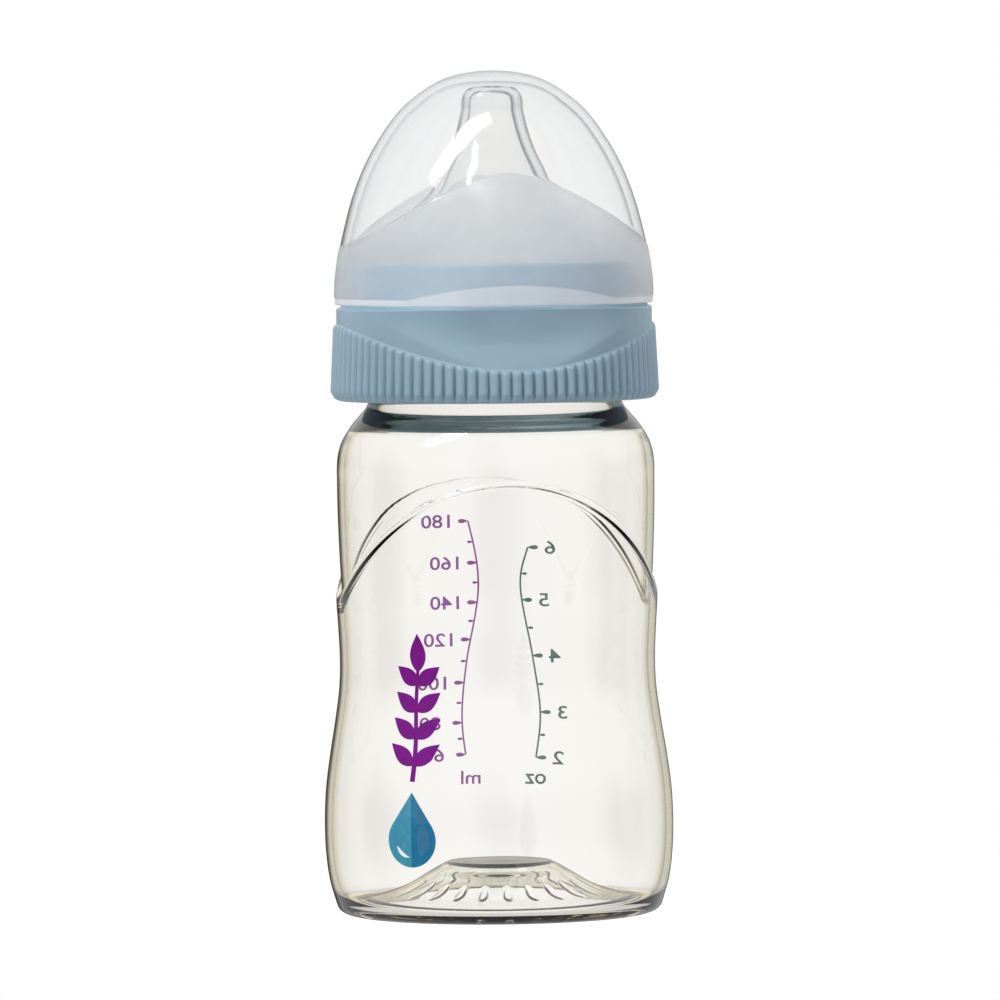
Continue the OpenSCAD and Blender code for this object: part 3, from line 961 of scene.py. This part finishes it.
def make_prints():
    purple = ink("ink_purple_print", (0.19, 0.002, 0.23), (0.15, 0.001, 0.19))
    scale_purple = ink("ink_purple_scale", (0.30, 0.008, 0.38), (0.24, 0.004, 0.31))
    green = ink("ink_green_scale", (0.035, 0.13, 0.11), (0.02, 0.09, 0.075))
    blue = ink("ink_blue_print", (0.011, 0.17, 0.32), (0.007, 0.14, 0.28))
    pale_blue = ink("ink_pale_blue_print", (0.055, 0.29, 0.42), (0.04, 0.25, 0.37))
    white = ink("ink_white_print", (0.80, 0.88, 0.92), (0.74, 0.82, 0.88))
    back, front_left = math.pi, math.radians(-34.8)
    ml = scale_shapes(ML_LINE, ML_HEIGHTS, -1, 6.6, ("ml", 2.6, 1.2, -2.7, 23.4))
    oz = scale_shapes(OZ_LINE, OZ_HEIGHTS, 1, 4.3, ("oz", 2.1, 1.0, 10.1, 23.0))
    rows = [
        ("ml_scale_print", behind(ml), [scale_purple], back, "ink_purple", "ml_scale"),
        ("oz_scale_print", behind(oz), [green], back, "ink_green", "oz_scale"),
        ("sprig_ink_print", sprig_shapes(), [purple], front_left, "ink_purple", "sprig_print"),
        ("drop_ink_print", drop_shapes(), [blue, pale_blue, white], front_left, "ink_blue", "drop_print"),
    ]
    for name, shapes, materials, turn, slot, node in rows:
        dress(print_mesh(name, shapes, materials, turn), "bottle", slot, node)


# ---------------------------------------------------------------- studio


def wired(tree, kind, inputs, **settings):
    """A new node whose numbered inputs are set or linked."""
    node = tree.nodes.new(kind)
    for key, value in settings.items():
        setattr(node, key, value)
    for index, value in inputs:
        if isinstance(value, bpy.types.NodeSocket):
            tree.links.new(value, node.inputs[index])
        else:
            node.inputs[index].default_value = value
    return node


def make_world():
    """A white room to the eye. The plastics see it as follows.

    Light that comes through them finds a white window ahead, behind and to each side, each with a
    dark frame, and this draws the edges. Reflections find light grey, and dark straight ahead, which
    draws the outlines. Diffuse light comes from above.
    """
    world = bpy.data.worlds.new("studio")
    bpy.context.scene.world = world
    world.use_nodes = True
    tree = world.node_tree
    coord = tree.nodes.new("ShaderNodeTexCoord")
    parts = wired(tree, "ShaderNodeSeparateXYZ", [(0, coord.outputs["Generated"])])
    height = parts.outputs["Z"]
    x = wired(tree, "ShaderNodeMath", [(0, parts.outputs["X"])], operation="ABSOLUTE")
    y = wired(tree, "ShaderNodeMath", [(0, parts.outputs["Y"])], operation="ABSOLUTE")
    nearest = wired(tree, "ShaderNodeMath", [(0, x.outputs[0]), (1, y.outputs[0])], operation="MAXIMUM")
    windows = ramp(
        tree,
        nearest.outputs[0],
        (0.50, (0.80, 0.81, 0.83)),
        (0.68, (0.58, 0.61, 0.65)),
        (0.87, (0.58, 0.61, 0.65)),
        (0.895, (0.09, 0.10, 0.115)),
        (0.925, (0.09, 0.10, 0.115)),
        (0.943, (0.98, 0.98, 0.98)),
    )
    outer_glints = ramp(
        tree,
        nearest.outputs[0],
        (0.92, (0.66, 0.66, 0.66)),
        (0.98, (0.07, 0.065, 0.05)),
    )
    inner_glints = ramp(
        tree,
        nearest.outputs[0],
        (0.95, (0.66, 0.66, 0.65)),
        (0.99, (0.22, 0.20, 0.16)),
    )
    eye = tree.nodes.new("ShaderNodeLightPath")

    def by_height(start, end, low, high):
        inputs = [(0, height), (1, start), (2, end), (3, low), (4, high)]
        return wired(tree, "ShaderNodeMapRange", inputs).outputs[0]

    def switch(factor, first, second):
        node = wired(tree, "ShaderNodeMix", [(0, factor), (6, first), (7, second)], data_type="RGBA")
        return node.outputs[2]

    below = by_height(-0.12, -0.5, 0.0, 1.0)
    overhead = by_height(0.0, 0.15, 0.0, 1.0)
    from_above = by_height(-0.1, 0.3, 0.28, 0.62)
    through = switch(below, windows, (0.98, 0.98, 0.98, 1))
    glints = switch(eye.outputs["Transmission Depth"], outer_glints, inner_glints)
    glints = switch(overhead, glints, (0.88, 0.88, 0.88, 1))
    colour = switch(eye.outputs["Glossy Depth"], through, glints)
    colour = switch(eye.outputs["Is Diffuse Ray"], colour, from_above)
    colour = switch(eye.outputs["Is Camera Ray"], colour, (1, 1, 1, 1))
    tree.links.new(colour, tree.nodes["Background"].inputs["Color"])


def make_floor():
    """A pale disc a hair below the foot. Only the eye and diffuse light see it."""
    theta = angles(96)
    verts, faces = surface([ring(theta, r, 0) for r in (0.0, 40, 90, 150)][::-1])
    m, tree, shader = new_material("pale_floor")
    colours = ramp(tree, noise(tree, 8), (0.3, (0.19, 0.19, 0.19)), (0.7, (0.21, 0.21, 0.21)))
    tree.links.new(colours, shader.inputs["Base Color"])
    shader.inputs["Roughness"].default_value = 0.7
    shader.inputs["Emission Color"].default_value = (1, 1, 1, 1)
    eye = tree.nodes.new("ShaderNodeLightPath")
    to_eye, to_object = 0.86, 0.2
    glow = wired(
        tree,
        "ShaderNodeMapRange",
        [(0, eye.outputs["Is Diffuse Ray"]), (1, 0.0), (2, 1.0), (3, to_eye), (4, to_object)],
    )
    tree.links.new(glow.outputs[0], shader.inputs["Emission Strength"])
    gap = 0.02
    floor = add_mesh("floor", np.array(verts) - [0, 0, gap], faces, [m])
    floor.visible_transmission = False
    floor.visible_glossy = False


def softbox(name, place, aim, size, power, slant=0.0):
    """A rectangular light that looks at a point, turned by slant degrees about that line."""
    data = bpy.data.lights.new(name, "AREA")
    data.shape = "RECTANGLE"
    data.size, data.size_y = size
    data.energy = power
    lamp = bpy.data.objects.new(name, data)
    bpy.context.scene.collection.objects.link(lamp)
    turn = (Vector(aim) - Vector(place)).to_track_quat("-Z", "Y").to_matrix().to_4x4()
    lamp.matrix_world = Matrix.Translation(place) @ turn @ Matrix.Rotation(math.radians(slant), 4, "Z")
    return lamp


def make_lights():
    """A long key that draws the streak on the cap, and two fills that only diffuse light sees."""
    middle = Vector((0, 0, 0.12))
    key_place = middle + Vector((-0.53, -0.37, 1.08))
    softbox("key_left", key_place, middle, size=(0.20, 1.1), power=7.2, slant=-22)
    for name, x, power in [("side_left", -1.0, 6.0), ("side_right", 1.0, 4.4)]:
        side_place = middle + Vector((x, -0.8, 0.35))
        side = softbox(name, side_place, middle, size=(0.4, 0.8), power=power)
        side.visible_glossy = False
        side.visible_transmission = False


def make_camera():
    """A long lens just under the cap's height, a little to the left of the front, rolled half a degree."""
    distance, height, aim_z, aim_x = 1.8, 0.155, 0.07853, 0.0008
    azimuth, roll = math.radians(-5), math.radians(-0.57)
    data = bpy.data.cameras.new("camera")
    data.sensor_width = 36
    data.lens = 340.8
    data.clip_end = 20
    camera = bpy.data.objects.new("camera", data)
    bpy.context.scene.collection.objects.link(camera)
    right = Vector((math.cos(azimuth), -math.sin(azimuth), 0))
    place = Vector((distance * math.sin(azimuth), -distance * math.cos(azimuth), height)) + right * aim_x
    aim = right * aim_x + Vector((0, 0, aim_z))
    turn = (aim - place).to_track_quat("-Z", "Y").to_matrix().to_4x4()
    camera.matrix_world = Matrix.Translation(place) @ turn @ Matrix.Rotation(roll, 4, "Z")
    bpy.context.scene.camera = camera


def set_picture():
    """Plain view transform, and enough bounces for light to pass both walls of cap, teat and body."""
    scene = bpy.context.scene
    scene.view_settings.view_transform = "Standard"
    scene.view_settings.look = "None"
    scene.cycles.max_bounces = 32
    scene.cycles.transmission_bounces = 32
    scene.cycles.transparent_max_bounces = 16


make_camera()
make_bottle()
make_prints()
make_collar()
make_teat()
make_cap()
make_floor()
make_world()
make_lights()
set_picture()
